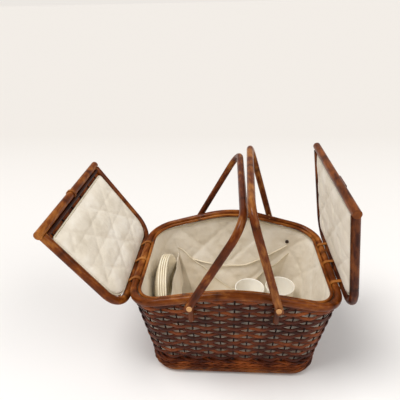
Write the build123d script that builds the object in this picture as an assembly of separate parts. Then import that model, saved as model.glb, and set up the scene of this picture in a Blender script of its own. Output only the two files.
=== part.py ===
from build123d import *
import os
from math import atan, cos, degrees, radians, sin, sqrt

# A wicker picnic basket with two lids hinged on its end rims, two hoop handles, a quilted
# lining, and a set of plates and cups. Millimetres, +Z up, the origin on the underside of
# the middle base stick. X runs along the basket, and -Y is the front.

os.makedirs("parts", exist_ok=True)

# Body: every size is on the centreline of a pole or the middle of a wall.
rim_half_length = 205.0
rim_half_width = 149.5
rim_height = 207.0
rim_corner_r = 62.0
rim_dia = 16.5
crown_rise = 48.0
crown_r = 270.0
side_bulge = 14.7
base_half_length = 168.5
base_half_width = 115.0
base_corner_r = 46.0
base_dia = 12.0
base_flat = 0.5
wall_thick = 5.0
inner_cane_dia = 7.0
panel_thick = 4.0
stick_width = 12.0
stick_pitch = 75.0
braid_dia = 7.0
fit = 0.3
slip = 0.05

# Lining and its pockets
lining_thick = 3.0
floor_pad_thick = 6.0
piping_dia = 4.5
pocket_thick = 2.0
pocket_fullness = 22.0
pocket_half_span = 150.0
pocket_corner_z = 172.0
pocket_sag_z = 30.0
pocket_foot_z = 24.0
pocket_fold_count = 6
pocket_fold_depth = 3.0
tape_dia = 3.0
button_dia = 9.0
button_thick = 2.5

# Lids: s runs from the hinge bar to the closing bar, w points outwards.
lid_length = 216.0
lid_half_width = 150.0
lid_flare = 10.0
lid_pole_dia = 16.5
lid_corner_r = 50.0
hinge_gap = 0.5
left_open = 125.3
right_open = 82.0
lid_panel_thick = 3.5
lid_panel_out = 2.0
pad_crown = 8.0
pad_edge = 4.5
pad_seams = 3
lid_piping_dia = 3.5
slat_dia = 7.0
left_pad_end = 190.0
right_pad_end = 202.0
loop_width = 8.0
loop_thick = 1.4
loop_gap = 0.25
loop_pitch = 70.0
loop_swing = 5.0

# Latch: a cord loop on the left lid and a dowel toggle on the right one
lashing_cord = 2.2
latch_cord = 3.0
latch_length = 46.0
latch_width = 20.0
toggle_dia = 11.0
toggle_length = 46.0
toggle_neck_dia = 6.0
toggle_stand = 4.0
toggle_back = 20.0

# Handles
handle_dia = 15.0
handle_foot_y = 178.0
handle_top_y = 176.0
left_handle_x = -82.5
right_handle_x = 85.0
right_handle_skew = 2.09
left_lean = 29.0
right_lean = 16.1
left_hoop = 196.5
right_hoop = 198.0
handle_corner_r = 46.0
foot_drop = 11.0
peg_dia = 6.0
peg_head_dia = 10.4
peg_head_thick = 2.5
post_dia = 11.0
post_top_z = 219.5
post_foot_z = 183.0

# Plates and cups
plate_dia = 184.0
plate_foot_dia = 114.0
plate_depth = 20.0
plate_lip = 3.0
plate_thick = 4.0
plate_gap = 0.15
plate_count = 4
plate_lean = 7.5
plate_foot_x = -160.5
plate_y = 12.0
strap_height = 80.0
strap_foot = 45.0
strap_thick = 2.0
stud_dia = 9.0
cup_mouth_dia = 72.0
cup_foot_dia = 48.0
cup_height = 80.0
cup_wall = 3.0
cup_places = [(41.5, 52.0), (116.5, 62.0), (34.0, -24.0), (121.0, -22.0)]

# What follows from the sizes above
rim_r = rim_dia / 2
lid_r = lid_pole_dia / 2
gable_slope = crown_rise / rim_half_length
crown_half_width = rim_half_width + side_bulge
base_z = base_dia / 2 - base_flat
base_top = base_z + base_dia / 2
apex_z = rim_height + crown_rise
panel_z = base_top - panel_thick
floor_z = base_top + fit + floor_pad_thick
inner_cane_in = rim_r + inner_cane_dia / 2 + fit
hinge_d = rim_r + lid_r + hinge_gap
loop_in_r = max(rim_r, lid_r) + loop_gap
loop_out_r = loop_in_r + loop_thick
lining_out = -wall_thick / 2 - fit
lining_in = lining_out - lining_thick
wall_drop = rim_r + 3 * fit
wall_slope = (rim_half_length - base_half_length) / (rim_height - base_z)
lid_pad_start = loop_out_r + fit + lid_piping_dia + fit
hinge_z = rim_height + gable_slope * (rim_half_length + left_handle_x)


def gable_z(x):
    """Height of the rim's sloping centreline, before its crown is rounded."""
    return rim_height + gable_slope * (rim_half_length - abs(x))


def grow(z):
    """How far a height lies from the base ring to the rim's corners, 0 to 1."""
    return (z - base_z) / (rim_height - base_z)


def half_length(z):
    return base_half_length + (rim_half_length - base_half_length) * grow(z)


def half_width(z):
    return base_half_width + (rim_half_width - base_half_width) * grow(z)


def corner_r(z):
    return base_corner_r + (rim_corner_r - base_corner_r) * grow(z)


def bulge(z):
    """How far the long sides stand out at their middle, past their corners."""
    full = crown_half_width - half_width(apex_z)
    return max(0.2, full * (z - base_z) / (apex_z - base_z))


def section(z, off):
    """The basket's plan at one height, grown outwards by off."""
    a, b, r, g = half_length(z) + off, half_width(z) + off, corner_r(z) + off, bulge(z)
    with BuildSketch(Plane.XY.offset(z)) as plan:
        with BuildLine():
            for side in (1, -1):
                ThreePointArc(
                    (side * (a - r), side * b), (0, side * (b + g)), (-side * (a - r), side * b)
                )
                CenterArc((side * -(a - r), side * (b - r)), r, 90 if side > 0 else 270, 90)
                Line((-side * a, side * (b - r)), (-side * a, -side * (b - r)))
                CenterArc((side * -(a - r), -side * (b - r)), r, 180 if side > 0 else 0, 90)
        make_face()
    return plan.sketch


def body_block(low, high, off):
    """A solid with the basket's tapered outline between two heights."""
    return loft([section(low, off), section(high, off)], ruled=True)


def above_gable(drop):
    """Everything higher than the rim's centreline, lowered by drop."""
    reach = rim_half_length * 2
    with BuildSketch(Plane.XZ) as side:
        with BuildLine():
            line = FilletPolyline(
                (-reach, gable_z(reach) - drop),
                (0, apex_z - drop),
                (reach, gable_z(reach) - drop),
                radius=crown_r,
            )
            Polyline(line @ 1, (reach, apex_z * 2), (-reach, apex_z * 2), line @ 0)
        make_face()
    return extrude(side.sketch, amount=rim_half_width * 2, both=True)


def rim_route(inset, drop=0.0):
    """The rim's route, moved inwards and down."""
    a, b = rim_half_length - inset, rim_half_width - inset
    z, top = gable_z(a) - drop, apex_z - drop
    y = crown_half_width - inset
    r = rim_corner_r - inset
    points = [(a, -b, z), (a, b, z), (0, y, top), (-a, b, z), (-a, -b, z), (0, -y, top)]
    return FilletPolyline(*points, radius=[r, r, crown_r, r, r, crown_r], close=True)


def pole(route, dia):
    """A round pole along a route."""
    start = Plane(route @ 0, z_dir=route % 0)
    return sweep(start * Circle(dia / 2), path=route)


def rod(start, end, dia):
    """A straight round rod between two points."""
    direction = Vector(*end) - Vector(*start)
    return extrude(Plane(start, z_dir=direction) * Circle(dia / 2), amount=direction.length)


def slots(y_places, width, reach):
    """Room for the hinge loops to pass round the end rims."""
    cuts = []
    for side in (1, -1):
        for y in y_places:
            at = (side * rim_half_length, y - width / 2, rim_height)
            end = (side * rim_half_length, y + width / 2, rim_height)
            cuts.append(rod(at, end, 2 * reach))
    return cuts


loop_places = [-loop_pitch, 0.0, loop_pitch]
cane_slots = slots(loop_places, loop_width + 1.5, loop_out_r + 2 * fit)
wall_slots = slots(loop_places, loop_width + 1.5, loop_out_r + loop_swing)


def lid_at(side, shape):
    """Puts a lid's piece, drawn flat from its hinge, at its open rest."""
    turn = Rot(0, -left_open, 0) if side < 0 else Rot(0, right_open, 0) * Rot(0, 0, 180)
    return Pos(side * rim_half_length, 0, rim_height) * turn * shape


def lid_width(s):
    return lid_half_width + lid_flare * s / lid_length


def lid_outline(inset, start, end, w, radii):
    """A closed route round a lid, inset from its frame's centreline."""
    near, far = lid_width(start) - inset, lid_width(end) - inset
    points = [(end, -far, w), (start, -near, w), (start, near, w), (end, far, w)]
    return FilletPolyline(*points, radius=radii, close=True)


def lid_frame():
    """The bent pole of a lid, coped where it meets the closing bar."""
    near, far = lid_width(0), lid_width(lid_length)
    points = [(lid_length, -far), (0, -near), (0, near), (lid_length, far)]
    route = FilletPolyline(*[(s, y, hinge_d) for s, y in points], radius=lid_corner_r)
    return pole(route, lid_pole_dia) - closing_bar(slip)


def closing_bar(grown=0.0):
    """The straight pole across the limbs' ends."""
    y = lid_width(lid_length) + lid_r
    ends = [(lid_length, -y, hinge_d), (lid_length, y, hinge_d)]
    return rod(*ends, lid_pole_dia + 2 * grown)


def lid_panel():
    """The woven sheet between a lid's poles."""
    r = lid_corner_r - lid_r
    inset = lid_r + fit
    route = lid_outline(
        inset, loop_out_r + fit, lid_length - inset, hinge_d + lid_panel_out, [1, r, r, 1]
    )
    return extrude(make_face(route.edges()), amount=lid_panel_thick, dir=(0, 0, 1))


def puff_profile(start, end, count, edge, crown, back):
    """A row of crowned puffs between sewn channels, over a flat back."""
    step = (end - start) / count
    with BuildLine() as line:
        for i in range(count):
            s = start + i * step
            ThreePointArc((s, -edge), (s + step / 2, -crown), (s + step, -edge))
        Polyline((end, -edge), (end, back), (start, back), (start, -edge))
    return make_face(line.edges())


def lid_pad(end):
    """The quilted pad of a lid: puffs between sewn channels, drawn in at its sides."""
    start = lid_pad_start
    inset = lid_r + fit + lid_piping_dia + fit
    r = lid_corner_r - inset
    back = lid_panel_out - fit
    puffs = puff_profile(start, end, pad_seams + 1, pad_edge, pad_crown, back)
    length = extrude(Plane.XZ * puffs, amount=lid_half_width + lid_flare, both=True)
    y = lid_width(end)
    across = puff_profile(-y, y, 1, 0.5, pad_crown, back)
    sides = extrude(Plane.YZ * across, amount=end + lid_r)
    route = lid_outline(inset, start + slip, end - slip, 0, [8, r, r, 8])
    block = extrude(make_face(route.edges()), amount=pad_crown * 2, both=True, dir=(0, 0, 1))
    return Pos(0, 0, hinge_d) * (length & sides & block)


def lid_piping(end):
    """The corded edge round a lid's pad."""
    inset = lid_r + fit + lid_piping_dia / 2
    start = lid_pad_start - fit - lid_piping_dia / 2
    far = end + fit + lid_piping_dia / 2
    r = lid_corner_r - inset
    route = lid_outline(inset, start, far, hinge_d - 1.0, [8, r, r, 8])
    return pole(route, lid_piping_dia)


def hinge_loops():
    """Cane loops that hold the hinge bar and turn round the end rim."""
    loops = []
    for y in loop_places:
        at = Plane((0, y + loop_width / 2, hinge_d / 2), x_dir=(0, 0, 1), z_dir=(0, -1, 0))
        outer = SlotCenterToCenter(hinge_d, 2 * loop_out_r)
        inner = SlotCenterToCenter(hinge_d, 2 * loop_in_r)
        loops.append(extrude(at * (outer - inner), amount=loop_width))
    return Compound(loops)


def lashing():
    """Turns of cord round the left closing bar, which carry the latch loop."""
    r = lid_r + slip + lashing_cord / 2
    turns = []
    for i in (-1, 0, 1):
        at = Plane((lid_length, i * (lashing_cord + fit), hinge_d), z_dir=(0, 1, 0))
        turns.append(at * Torus(r, lashing_cord / 2))
    return Compound(turns)


def lashing_room():
    """The space that the lashing takes up beside the closing bar."""
    y = 1.5 * lashing_cord + 3 * fit
    reach = lid_pole_dia + 2 * (lashing_cord + slip + fit)
    return rod((lid_length, -y, hinge_d), (lid_length, y, hinge_d), reach)


latch_s = lid_length - 9.5
latch_w = hinge_d + 9.5


def latch_loop():
    """The cord loop, drawn hanging straight down from its knot on the open left lid."""
    h = latch_width / 2
    route = FilletPolyline(
        (0, -h, -1), (0, -h, -latch_length), (0, h, -latch_length), (0, h, -1), radius=h - 0.5
    )
    knot = rod((0, -h - 2, 0), (0, h + 2, 0), latch_cord + 1.5)
    return Rot(0, left_open, 0) * (pole(route, latch_cord) + knot)


def toggle_neck():
    """The short neck that stands the toggle off the right lid's slat and panel."""
    s = lid_length - toggle_back
    w = hinge_d + lid_panel_out + lid_panel_thick
    return rod((s, 0, w + slip), (s, 0, w + toggle_stand), toggle_neck_dia)


def toggle_peg():
    """The dowel toggle across the neck."""
    s = lid_length - toggle_back
    w = hinge_d + lid_panel_out + lid_panel_thick + toggle_stand + slip + toggle_dia / 2
    peg = rod((s, -toggle_length / 2, w), (s, toggle_length / 2, w), toggle_dia)
    peg = chamfer(peg.edges().filter_by(GeomType.CIRCLE), 1.0)
    seat = Pos(s, 0, w - toggle_dia / 2) * Box(toggle_dia, toggle_dia, 2 * 0.6)
    return peg - seat


def handle(hoop):
    """A bent hoop, drawn upright on its pegs' line."""
    points = [
        (0, -handle_foot_y, -foot_drop),
        (0, -handle_top_y, hoop),
        (0, handle_top_y, hoop),
        (0, handle_foot_y, -foot_drop),
    ]
    hoop_pole = pole(FilletPolyline(*points, radius=handle_corner_r), handle_dia)
    bore = rod((0, -handle_foot_y * 1.2, 0), (0, handle_foot_y * 1.2, 0), peg_dia + 2 * slip)
    return hoop_pole - bore


def handle_frame(side):
    """Where a handle's pegs lie, before the handle leans."""
    if side < 0:
        return Pos(left_handle_x, 0, hinge_z)
    return Pos(right_handle_x, 0, hinge_z) * Rot(0, 0, -right_handle_skew)


def pegs(grown=0.0):
    """The four pegs through the handles' feet and the rim pole."""
    inner = rim_half_width + 1.5
    outer = handle_foot_y + handle_dia / 2 + 2 * fit
    made = []
    for side in (-1, 1):
        for end in (-1, 1):
            shank = rod((0, end * inner, 0), (0, end * outer, 0), peg_dia + 2 * grown)
            if grown:
                made.append(handle_frame(side) * shank)
                continue
            head_end = outer + peg_head_thick
            head = rod((0, end * outer, 0), (0, end * head_end, 0), peg_head_dia)
            head = fillet(head.edges().group_by(Axis.Y)[-1 if end > 0 else 0], 1.0)
            made.append(handle_frame(side) * (shank + head))
    return made


def handle_posts():
    """Short stubs of pole on the wall under each handle's foot."""
    out = wall_thick / 2 + fit + post_dia / 2
    skew = (handle_foot_y * sin(radians(right_handle_skew)))
    made = []
    for x, end in [
        (left_handle_x, -1),
        (left_handle_x, 1),
        (right_handle_x - skew, -1),
        (right_handle_x + skew, 1),
    ]:
        ends = []
        for z in (post_foot_z, post_top_z):
            mid = half_width(z) + bulge(z) * (1 - (x / (half_length(z) - corner_r(z))) ** 2)
            ends.append((x, end * (mid + out), z))
        made.append(rod(ends[0], ends[1], post_dia))
    return Compound(made)


def base_ring():
    a, b = base_half_length, base_half_width
    points = [(a, -b, base_z), (a, b, base_z), (-a, b, base_z), (-a, -b, base_z)]
    ring = pole(FilletPolyline(*points, radius=base_corner_r, close=True), base_dia)
    below = Pos(0, 0, -base_dia) * Box(a * 3, a * 3, base_dia * 2)
    return ring - below


def base_panel():
    inset = -(base_dia / 2 + fit)
    plan = section(base_z, inset)
    return extrude(Pos(0, 0, panel_z - base_z) * plan, amount=panel_thick, dir=(0, 0, 1))


def base_sticks():
    """Flat-bottomed canes under the base, the middle one through the origin."""
    length = 2 * (base_half_width - base_dia / 2 - fit)
    tall = panel_z - slip
    made = []
    for i in (-1, 0, 1):
        stick = Pos(i * stick_pitch, 0, tall / 2) * Box(stick_width, length, tall)
        long_edges = stick.edges().filter_by(Axis.Y).group_by(Axis.Z)[-1]
        made.append(fillet(long_edges, tall * 0.45))
    return Compound(made)


def wall_top():
    return above_gable(wall_drop)


def woven_wall():
    low = base_top + slip
    outer = body_block(low, apex_z, wall_thick / 2)
    inner = body_block(low - 1, apex_z + 1, -wall_thick / 2)
    return outer - inner - wall_top() - wall_slots


def foot_braid():
    """The braided row round the wall, just above the base ring."""
    z = base_top + slip + braid_dia / 2
    out = wall_thick / 2 + 2 * fit + braid_dia / 2
    a, b, r = half_length(z) + out, half_width(z) + out, corner_r(z) + out
    points = [(a, -b, z), (a, b, z), (-a, b, z), (-a, -b, z)]
    return pole(FilletPolyline(*points, radius=r, close=True), braid_dia)


def lining_walls():
    low = base_top + fit
    outer = body_block(low, apex_z, lining_out)
    inner = body_block(low - 1, apex_z + 1, lining_in)
    return outer - inner - wall_top() - wall_slots - lining_piping(slip)


def lining_floor():
    """The quilted pad on the base, drawn in round its edge."""
    low = base_top + fit
    plan = section(low, lining_in - fit)
    pad = extrude(plan, amount=floor_pad_thick, dir=(0, 0, 1))
    return fillet(pad.edges().group_by(Axis.Z)[-1], floor_pad_thick * 0.6)


def lining_piping(grown=0.0):
    """The cord sewn round the lining's top edge, just inside the rim."""
    drop = rim_r + fit
    inset = -lining_in + wall_slope * drop + fit + piping_dia / 2
    piping = pole(rim_route(inset, drop), piping_dia + 2 * grown)
    return piping if grown else piping - cane_slots


def wavy_edge(half, y, depth, count):
    """Points of a row of folds: the joints between them and their crests."""
    step = 2 * half / count
    joints = [(-half + i * step, y) for i in range(count + 1)]
    crests = [(-half + (i + 0.5) * step, y - depth * (1 if i % 2 else -1)) for i in range(count)]
    return joints, crests


def folded_strip(z, half, y, depth):
    """A thin closed strip with the pocket's folds, at one height."""
    front, front_crests = wavy_edge(half, y - pocket_thick, depth, pocket_fold_count)
    back, back_crests = wavy_edge(half, y, depth, pocket_fold_count)
    with BuildSketch(Plane.XY.offset(z)) as strip:
        with BuildLine():
            for joints, crests in ((front, front_crests), (back, back_crests)):
                for i, crest in enumerate(crests):
                    ThreePointArc(joints[i], crest, joints[i + 1])
            Line(front[0], back[0])
            Line(front[-1], back[-1])
        make_face()
    return strip.sketch


def pocket_face(z):
    """Where the back lining's inner face lies at a height."""
    return half_width(z) + lining_in


def back_pocket():
    """The gathered pocket on the back wall, with its folds and its sagging top edge."""
    top = pocket_corner_z
    low_y = pocket_face(pocket_foot_z) - 2 * fit - pocket_fold_depth * 0.2
    top_y = pocket_face(top) - pocket_fullness
    half_low = pocket_half_span - corner_r(0)
    sheet = loft(
        [
            folded_strip(pocket_foot_z, half_low, low_y, pocket_fold_depth * 0.2),
            folded_strip(top, pocket_half_span - 8, top_y, pocket_fold_depth),
        ],
        ruled=True,
    )
    with BuildSketch(Plane.XZ) as sag:
        with BuildLine():
            line = FilletPolyline(
                (-pocket_half_span, pocket_corner_z + 8),
                (8, pocket_sag_z),
                (pocket_half_span, pocket_corner_z + 8),
                radius=70,
            )
            Polyline(line @ 1, (pocket_half_span, 300), (-pocket_half_span, 300), line @ 0)
        make_face()
    return sheet - extrude(sag.sketch, amount=-rim_half_width * 2)


def pocket_tape():
    """The piped upper edge that crosses the back lining above the pocket."""
    places = [(-118, 130), (-74, 118), (-27, 110), (32, 112), (75, 131), (108, 151), (138, 168)]
    inset = fit + tape_dia / 2
    points = [(x, pocket_face(z) - inset, z) for x, z in places]
    return pole(FilletPolyline(*points, radius=40), tape_dia)


def pocket_button():
    x, z = 137.0, 179.0
    slope = (rim_half_width - base_half_width) / (rim_height - base_z)
    y = pocket_face(z) - fit - button_thick / 2 - 0.4
    disc = fillet(Cylinder(button_dia / 2, button_thick).edges(), button_thick / 3)
    return Pos(x, y, z) * Rot(90 - degrees(atan(slope)), 0, 0) * disc


plate_slope = 2 * (plate_depth - plate_lip) / (plate_dia - plate_foot_dia)
plate_upright = plate_thick * sqrt(1 + plate_slope**2)
plate_tilt = cos(radians(plate_lean)) - plate_slope * sin(radians(plate_lean))
plate_pitch = (plate_upright + plate_gap) / plate_tilt


def plate():
    """A shallow round plate, drawn on its foot."""
    r, foot = plate_dia / 2, plate_foot_dia / 2
    with BuildSketch(Plane.XZ) as profile:
        with BuildLine():
            Polyline(
                (0, 0),
                (foot, 0),
                (r, plate_depth - plate_lip),
                (r, plate_depth),
                (foot + (plate_depth - plate_upright) / plate_slope, plate_depth),
                (foot - (plate_upright - plate_thick) / plate_slope, plate_thick),
                (0, plate_thick),
                (0, 0),
            )
        make_face()
    return revolve(profile.sketch, axis=Axis.Z)


def plate_at(i):
    """A plate stood on its edge at the left end, the i-th of the stack."""
    lean = radians(plate_lean)
    r = plate_dia / 2
    x = plate_foot_x + i * plate_pitch - r * sin(lean)
    z = floor_z + fit + r * cos(lean) - (plate_depth - plate_lip) * sin(lean)
    return Pos(x, plate_y, z) * Rot(0, 90 - plate_lean, 0) * plate()


def strap_x(z):
    lean = radians(plate_lean)
    front = (plate_count - 1) * plate_pitch + (plate_depth + fit) / cos(lean)
    return plate_foot_x + front - (z - floor_z) * sin(lean) / cos(lean)


def plate_strap():
    """The fabric strap across the basket, which holds the plates upright."""
    low, high = floor_z + strap_foot, floor_z + strap_foot + strap_height
    faces = []
    for z in (low, high):
        x, y = strap_x(z), half_width(z) + lining_in - fit
        plan = Pos(x + strap_thick / 2, 0, z) * Rectangle(strap_thick, 2 * y)
        faces.append(plan)
    return loft(faces, ruled=True)


def strap_stud():
    z = floor_z + strap_foot + strap_height * 0.35
    disc = fillet(Cylinder(stud_dia / 2, 3.0).edges(), 1.0)
    x = strap_x(z) + strap_thick + 2.2
    return Pos(x, -38.0, z) * Rot(0, 90 - plate_lean, 0) * disc


def cup():
    """A tapered cup with a rounded lip."""
    top, foot = cup_mouth_dia / 2, cup_foot_dia / 2
    slope = (top - foot) / cup_height
    with BuildSketch(Plane.XZ) as profile:
        with BuildLine():
            Polyline((0, 0), (foot, 0), (top, cup_height))
            ThreePointArc(
                (top, cup_height),
                (top - cup_wall / 2, cup_height + cup_wall / 2),
                (top - cup_wall, cup_height),
            )
            Polyline(
                (top - cup_wall, cup_height),
                (foot + slope * cup_wall - cup_wall, cup_wall),
                (0, cup_wall),
                (0, 0),
            )
        make_face()
    return revolve(profile.sketch, axis=Axis.Z)


def save(name, shape):
    export_step(shape, f"parts/{name}.step")


def save_body():
    save("base_ring", base_ring())
    save("base_panel", base_panel())
    save("base_sticks", base_sticks())
    save("woven_wall", woven_wall())
    save("foot_braid", foot_braid())
    save("rim_pole", pole(rim_route(0), rim_dia) - pegs(slip))
    save("inner_rim_cane", pole(rim_route(inner_cane_in), inner_cane_dia) - cane_slots)
    save("handle_posts", handle_posts())
    save("handle_pegs", Compound(pegs()))


def save_lining():
    save("lining_walls", lining_walls())
    save("lining_floor", lining_floor())
    save("lining_piping", lining_piping())
    save("back_pocket", back_pocket())
    save("pocket_tape", pocket_tape())
    save("pocket_button", pocket_button())
    save("plate_strap", plate_strap())
    save("strap_stud", strap_stud())


def save_lid(side, name, pad_end):
    pieces = {
        "lid_frame": lid_frame(),
        "closing_bar": closing_bar(),
        "lid_panel": lid_panel() - lashing_room() if side < 0 else lid_panel(),
        "lid_pad": lid_pad(pad_end),
        "lid_piping": lid_piping(pad_end),
        "hinge_loops": hinge_loops(),
    }
    for piece, shape in pieces.items():
        save(f"{piece}_{name}", lid_at(side, shape))


def save_latch():
    slat_s = lid_length - lid_r - slat_dia / 2 - fit
    y = lid_width(slat_s) - lid_r - fit
    w = hinge_d + lid_panel_out - slat_dia / 2 - fit
    slat = rod((slat_s, -y, w), (slat_s, y, w), slat_dia) - lashing_room()
    save("lid_slat_left", lid_at(-1, slat))
    save("latch_lashing", lid_at(-1, lashing()))
    save("latch_loop", lid_at(-1, Pos(latch_s, 0, latch_w) * latch_loop()))
    save("toggle_neck", lid_at(1, toggle_neck()))
    save("toggle_peg", lid_at(1, toggle_peg()))


def save_handles():
    save("handle_left", handle_frame(-1) * Rot(0, left_lean, 0) * handle(left_hoop))
    save("handle_right", handle_frame(1) * Rot(0, -right_lean, 0) * handle(right_hoop))


def save_ware():
    for i in range(plate_count):
        save(f"plate_{i + 1}", plate_at(i))
    for i, (x, y) in enumerate(cup_places):
        save(f"cup_{i + 1}", Pos(x, y, floor_z + fit) * cup())


save_body()
save_lining()
save_lid(-1, "left", left_pad_end)
save_lid(1, "right", right_pad_end)
save_latch()
save_handles()
save_ware()
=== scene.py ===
import math
import random

import bmesh
import bpy
from mathutils import Matrix, Vector, noise


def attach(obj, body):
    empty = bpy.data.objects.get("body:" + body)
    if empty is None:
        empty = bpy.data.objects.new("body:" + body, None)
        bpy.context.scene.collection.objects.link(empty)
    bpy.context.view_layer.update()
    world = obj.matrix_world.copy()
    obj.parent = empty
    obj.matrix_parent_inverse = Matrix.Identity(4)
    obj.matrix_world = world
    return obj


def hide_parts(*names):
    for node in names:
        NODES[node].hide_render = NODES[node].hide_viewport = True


# A wicker picnic basket with two padded lids that stand open, two hoop handles, a quilted
# lining, and plates and cups. Lengths are in millimetres here; the meshes are in metres.
# +X runs along the basket, -Y is its front, +Z is up.

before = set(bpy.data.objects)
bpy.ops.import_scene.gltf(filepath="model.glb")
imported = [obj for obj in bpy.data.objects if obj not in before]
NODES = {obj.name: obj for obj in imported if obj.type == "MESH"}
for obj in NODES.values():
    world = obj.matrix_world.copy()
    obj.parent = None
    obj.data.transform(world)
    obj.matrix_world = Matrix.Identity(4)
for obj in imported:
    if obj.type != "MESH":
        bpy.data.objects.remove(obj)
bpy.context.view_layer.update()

# The basket's own sizes
RIM_LENGTH, RIM_WIDTH, RIM_Z, RIM_CORNER = 205.0, 149.5, 207.0, 62.0
BASE_LENGTH, BASE_WIDTH, BASE_Z, BASE_CORNER = 168.5, 115.0, 5.5, 46.0
CROWN_RISE, CROWN_R, CROWN_WIDTH = 48.0, 270.0, 164.2
POLE = 16.5
FLOOR_Z = 17.8
LINING_BACK, LINING_FACE = -2.8, -5.4
HINGE_D = 17.0
LID_LENGTH, LID_WIDTH, LID_FLARE, LID_CORNER = 216.0, 150.0, 10.0, 50.0
LEFT_OPEN, RIGHT_OPEN = 125.3, 82.0
PAD_START, LEFT_PAD_END, RIGHT_PAD_END = 14.01, 190.0, 202.0
GABLE = CROWN_RISE / RIM_LENGTH
KNUCKLE_REACH = 0.0045
STAKES = 44
WEAVE_ROWS, WEAVE_START, ROW_PITCH, WEAVE_OUT = 18, 51.0, 11.4, 1.3
WALE_ROWS, WALE_START, WALE_PITCH, WALE_OUT = 3, 22.5, 9.0, 1.5
BRAID_Z, BRAID_OUT = 15.6, 5.6
INNER_CANE, INNER_CANE_IN = 7.0, 12.05
EDGE_CORD, EDGE_CORD_IN, EDGE_CORD_DROP = 4.5, 9.9, 8.55
BASE_POLE, BASE_POLE_Z = 12.0, 6.0
HANDLE_POLE, HANDLE_CORNER, HANDLE_FOOT_Y, HANDLE_TOP_Y, FOOT_DROP = 15.0, 46.0, 178.0, 176.0, 11.0
LEFT_HANDLE_X, RIGHT_HANDLE_X = -82.5, 85.0
POCKET_FOOT, POCKET_CORNER_Z = 24.0, 172.0
STRAP_FOOT, STRAP_HEIGHT = 45.0, 80.0
CUP_PLACES = [(41.5, 52.0), (116.5, 62.0), (34.0, -24.0), (121.0, -22.0)]
LOOP_PITCH, LOOP_ROOM = 70.0, 8.0
PLATE_R, PLATE_EDGE, PLATE_DEPTH, PLATE_PITCH = 92.0, 17.0, 20.0, 4.953
PLATE_FOOT_X, PLATE_Y, PLATE_LEAN = -160.5, 12.0, math.radians(7.5)
# Floor colours with painted light: lighter near the basket, darker far off.
FLOOR_NEAR_PAINTED_LIGHT, FLOOR_FAR_PAINTED_DIM = "#F6F3F0", "#DFDAD4"


def linear(code):
    """An sRGB hex colour as linear RGBA."""
    parts = [int(code[i : i + 2], 16) / 255 for i in (1, 3, 5)]
    return [p / 12.92 if p <= 0.04045 else ((p + 0.055) / 1.055) ** 2.4 for p in parts] + [1.0]


def add_node(tree, kind, inputs=None, stops=(), **settings):
    """Adds a node with its settings; an input is a value or another node's socket. stops are
    a colour ramp's (place, hex colour) pairs."""
    made = tree.nodes.new(kind)
    for name, value in settings.items():
        setattr(made, name, value)
    for key, value in (inputs or {}).items():
        if isinstance(value, bpy.types.NodeSocket):
            tree.links.new(value, made.inputs[key])
        else:
            made.inputs[key].default_value = value
    for i, (place, code) in enumerate(stops):
        elements = made.color_ramp.elements
        element = elements[i] if i < len(elements) else elements.new(place)
        element.position, element.color = place, linear(code)
    return made


def new_material(name):
    made = bpy.data.materials.new(name)
    made.use_nodes = True
    return made, made.node_tree, made.node_tree.nodes["Principled BSDF"]


# Materials

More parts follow.
